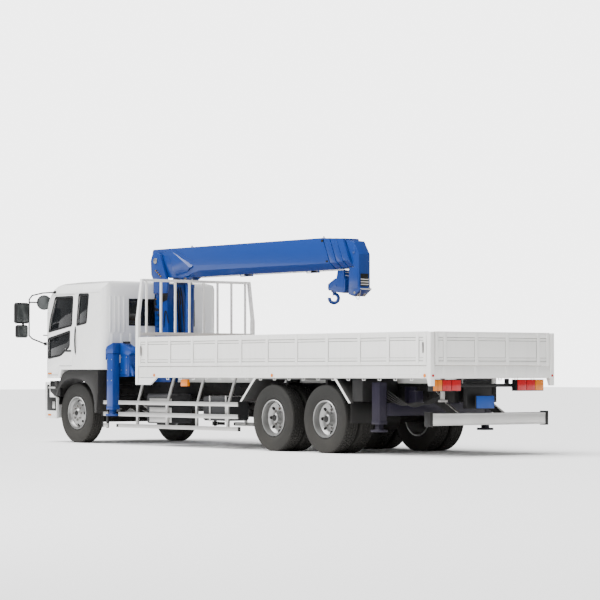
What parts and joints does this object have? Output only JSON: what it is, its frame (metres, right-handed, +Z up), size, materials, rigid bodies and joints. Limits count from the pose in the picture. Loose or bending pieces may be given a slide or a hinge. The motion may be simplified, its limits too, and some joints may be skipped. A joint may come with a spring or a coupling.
{
  "type": "cab-over flatbed truck with telescopic loader crane",
  "caption": "Cab-over tandem-axle truck with a drop-side bed, a telescopic loader crane behind the cab and outriggers.",
  "frame": {"origin": "on the ground under the middle of the bounding box", "axes": "+Y to the truck's rear, +X to its left, +Z up"},
  "size_m": [3.31, 10.86, 3.395],
  "materials": {
    "white_paint": "gloss",
    "crane_blue": "gloss",
    "dark_violet": "satin",
    "chassis_black": "satin",
    "fender_grey": "matte",
    "rubber": "matte",
    "silver_paint": "satin",
    "aluminium": "brushed",
    "glass": "gloss",
    "trim_grey": "matte",
    "lamp_red": "gloss",
    "steel": "satin"
  },
  "bodies": {
    "chassis": {"chassis_frame": "chassis_black", "engine": "chassis_black", "front_axle": "chassis_black", "rear_bogie": "chassis_black", "front_bumper": "white_paint", "front_fender_left": "fender_grey", "front_fender_right": "fender_grey", "fuel_tank": "aluminium", "battery_and_silencer": "trim_grey", "side_guard_left": "aluminium", "side_guard_right": "aluminium", "rear_mudguards": "fender_grey", "bed_floor": "white_paint", "guard_rack": "white_paint", "rear_bumper": "aluminium", "rear_lamps": "lamp_red", "crane_base": "crane_blue", "rear_outrigger_housing": "dark_violet"},
    "cab": {"cab_shell": "white_paint", "windshield": "glass", "cab_interior": "trim_grey", "mirror_left": "trim_grey", "mirror_right": "trim_grey"},
    "door_left": {"door_left": "white_paint"},
    "door_right": {"door_right": "white_paint"},
    "knuckle_left": {"knuckle_left": "chassis_black"},
    "knuckle_right": {"knuckle_right": "chassis_black"},
    "front_wheel_left": {"front_wheel_left": "silver_paint", "front_tyre_left": "rubber"},
    "front_wheel_right": {"front_wheel_right": "silver_paint", "front_tyre_right": "rubber"},
    "rear_wheels_1_left": {"rear_wheel_1_left": "silver_paint", "rear_tyres_1_left": "rubber"},
    "rear_wheels_1_right": {"rear_wheel_1_right": "silver_paint", "rear_tyres_1_right": "rubber"},
    "rear_wheels_2_left": {"rear_wheel_2_left": "silver_paint", "rear_tyres_2_left": "rubber"},
    "rear_wheels_2_right": {"rear_wheel_2_right": "silver_paint", "rear_tyres_2_right": "rubber"},
    "side_gate_left": {"side_gate_left": "white_paint"},
    "side_gate_right": {"side_gate_right": "white_paint"},
    "tailgate": {"tailgate": "white_paint"},
    "crane_column": {"crane_column": "crane_blue"},
    "boom_section_1": {"boom_section_1": "crane_blue"},
    "boom_section_2": {"boom_section_2": "crane_blue"},
    "boom_section_3": {"boom_section_3": "crane_blue"},
    "boom_section_4": {"boom_section_4": "crane_blue"},
    "boom_section_5": {"boom_section_5": "crane_blue"},
    "hook_block": {"hook_block": "crane_blue"},
    "crane_hook": {"crane_hook": "crane_blue"},
    "lift_cylinder": {"lift_cylinder": "crane_blue"},
    "lift_rod": {"lift_rod": "steel"},
    "front_outrigger_beam_left": {"front_outrigger_beam_left": "crane_blue"},
    "front_jack_left": {"front_jack_left": "crane_blue"},
    "front_outrigger_beam_right": {"front_outrigger_beam_right": "crane_blue"},
    "front_jack_right": {"front_jack_right": "crane_blue"},
    "rear_outrigger_beam_left": {"rear_outrigger_beam_left": "dark_violet"},
    "rear_jack_left": {"rear_jack_left": "dark_violet"},
    "rear_outrigger_beam_right": {"rear_outrigger_beam_right": "dark_violet"},
    "rear_jack_right": {"rear_jack_right": "dark_violet"}
  },
  "joints": [
    {"name": "cab_tilt", "type": "hinge", "parent": "chassis", "child": "cab", "pos_m": [0, -5.02, 1.02], "axis": [1, 0, 0], "range_deg": [0, 45]},
    {"name": "door_left_hinge", "type": "hinge", "parent": "cab", "child": "door_left", "pos_m": [1.228, -4.962, 1.9], "axis": [0, 0, -1], "range_deg": [0, 70]},
    {"name": "steering_left", "type": "hinge", "parent": "chassis", "child": "knuckle_left", "pos_m": [0.9, -4.123, 0.52348], "axis": [0, 0, 1], "range_deg": [-36, 36]},
    {"name": "front_wheel_left_roll", "type": "hinge", "parent": "knuckle_left", "child": "front_wheel_left", "pos_m": [1.015, -4.123, 0.52348], "axis": [1, 0, 0], "continuous": true},
    {"name": "rear_wheels_1_left_roll", "type": "hinge", "parent": "chassis", "child": "rear_wheels_1_left", "pos_m": [0.93, 1.633, 0.52348], "axis": [1, 0, 0], "continuous": true},
    {"name": "rear_wheels_2_left_roll", "type": "hinge", "parent": "chassis", "child": "rear_wheels_2_left", "pos_m": [0.93, 2.932, 0.52348], "axis": [1, 0, 0], "continuous": true},
    {"name": "side_gate_left_hinge", "type": "hinge", "parent": "chassis", "child": "side_gate_left", "pos_m": [1.245, 1.63, 1.336], "axis": [0, 1, 0], "range_deg": [0, 180]},
    {"name": "door_right_hinge", "type": "hinge", "parent": "cab", "child": "door_right", "pos_m": [-1.228, -4.962, 1.9], "axis": [0, 0, 1], "range_deg": [0, 70]},
    {"name": "steering_right", "type": "hinge", "parent": "chassis", "child": "knuckle_right", "pos_m": [-0.9, -4.123, 0.52348], "axis": [0, 0, 1], "range_deg": [-36, 36]},
    {"name": "front_wheel_right_roll", "type": "hinge", "parent": "knuckle_right", "child": "front_wheel_right", "pos_m": [-1.015, -4.123, 0.52348], "axis": [1, 0, 0], "continuous": true},
    {"name": "rear_wheels_1_right_roll", "type": "hinge", "parent": "chassis", "child": "rear_wheels_1_right", "pos_m": [-0.93, 1.633, 0.52348], "axis": [1, 0, 0], "continuous": true},
    {"name": "rear_wheels_2_right_roll", "type": "hinge", "parent": "chassis", "child": "rear_wheels_2_right", "pos_m": [-0.93, 2.932, 0.52348], "axis": [1, 0, 0], "continuous": true},
    {"name": "side_gate_right_hinge", "type": "hinge", "parent": "chassis", "child": "side_gate_right", "pos_m": [-1.245, 1.63, 1.336], "axis": [0, -1, 0], "range_deg": [0, 180]},
    {"name": "tailgate_hinge", "type": "hinge", "parent": "chassis", "child": "tailgate", "pos_m": [0, 5.43, 1.336], "axis": [-1, 0, 0], "range_deg": [0, 180]},
    {"name": "crane_slew", "type": "hinge", "parent": "chassis", "child": "crane_column", "pos_m": [0, -2.655, 1.45], "axis": [0, 0, 1], "continuous": true},
    {"name": "boom_lift", "type": "hinge", "parent": "crane_column", "child": "boom_section_1", "pos_m": [0, -2.99, 3.19], "axis": [1, 0, 0], "range_deg": [0, 78]},
    {"name": "boom_extend_2", "type": "slide", "parent": "boom_section_1", "child": "boom_section_2", "axis": [0, 1, 0], "range_m": [0, 2.9]},
    {"name": "boom_extend_3", "type": "slide", "parent": "boom_section_2", "child": "boom_section_3", "axis": [0, 1, 0], "range_m": [0, 2.9]},
    {"name": "boom_extend_4", "type": "slide", "parent": "boom_section_3", "child": "boom_section_4", "axis": [0, 1, 0], "range_m": [0, 2.9]},
    {"name": "boom_extend_5", "type": "slide", "parent": "boom_section_4", "child": "boom_section_5", "axis": [0, 1, 0], "range_m": [0, 2.9]},
    {"name": "hook_block_swing", "type": "hinge", "parent": "boom_section_5", "child": "hook_block", "pos_m": [0, 1.83, 2.63], "axis": [1, 0, 0], "range_deg": [-78, 0]},
    {"name": "hook_swivel", "type": "hinge", "parent": "hook_block", "child": "crane_hook", "pos_m": [0, 1.67, 2.428], "axis": [0, 0, 1], "continuous": true},
    {"name": "lift_cylinder_swing", "type": "hinge", "parent": "crane_column", "child": "lift_cylinder", "pos_m": [0, -2.31, 1.56], "axis": [1, 0, 0], "range_deg": [0, 6.55]},
    {"name": "lift_rod_slide", "type": "slide", "parent": "lift_cylinder", "child": "lift_rod", "axis": [0, 0.0153, 0.9999], "range_m": [0, 0.9509]},
    {"name": "front_beam_left_slide", "type": "slide", "parent": "chassis", "child": "front_outrigger_beam_left", "axis": [1, 0, 0], "range_m": [0, 1.5]},
    {"name": "front_jack_left_slide", "type": "slide", "parent": "front_outrigger_beam_left", "child": "front_jack_left", "axis": [0, 0, -1], "range_m": [0, 0.48]},
    {"name": "rear_beam_left_slide", "type": "slide", "parent": "chassis", "child": "rear_outrigger_beam_left", "axis": [1, 0, 0], "range_m": [0, 0.6]},
    {"name": "rear_jack_left_slide", "type": "slide", "parent": "rear_outrigger_beam_left", "child": "rear_jack_left", "axis": [0, 0, -1], "range_m": [0, 0.335]},
    {"name": "front_beam_right_slide", "type": "slide", "parent": "chassis", "child": "front_outrigger_beam_right", "axis": [-1, 0, 0], "range_m": [0, 1.5]},
    {"name": "front_jack_right_slide", "type": "slide", "parent": "front_outrigger_beam_right", "child": "front_jack_right", "axis": [0, 0, -1], "range_m": [0, 0.48]},
    {"name": "rear_beam_right_slide", "type": "slide", "parent": "chassis", "child": "rear_outrigger_beam_right", "axis": [-1, 0, 0], "range_m": [0, 0.6]},
    {"name": "rear_jack_right_slide", "type": "slide", "parent": "rear_outrigger_beam_right", "child": "rear_jack_right", "axis": [0, 0, -1], "range_m": [0, 0.335]}
  ],
  "couplings": [
    {"joint": "steering_right", "follows": "steering_left", "ratio": 1},
    {"joint": "boom_extend_3", "follows": "boom_extend_2", "ratio": 1},
    {"joint": "boom_extend_4", "follows": "boom_extend_2", "ratio": 1},
    {"joint": "boom_extend_5", "follows": "boom_extend_2", "ratio": 1},
    {"joint": "hook_block_swing", "follows": "boom_lift", "ratio": -1},
    {"joint": "lift_cylinder_swing", "follows": "boom_lift", "ratio": 0.083339},
    {"joint": "lift_rod_slide", "follows": "boom_lift", "m_per_rad": 0.69703}
  ]
}
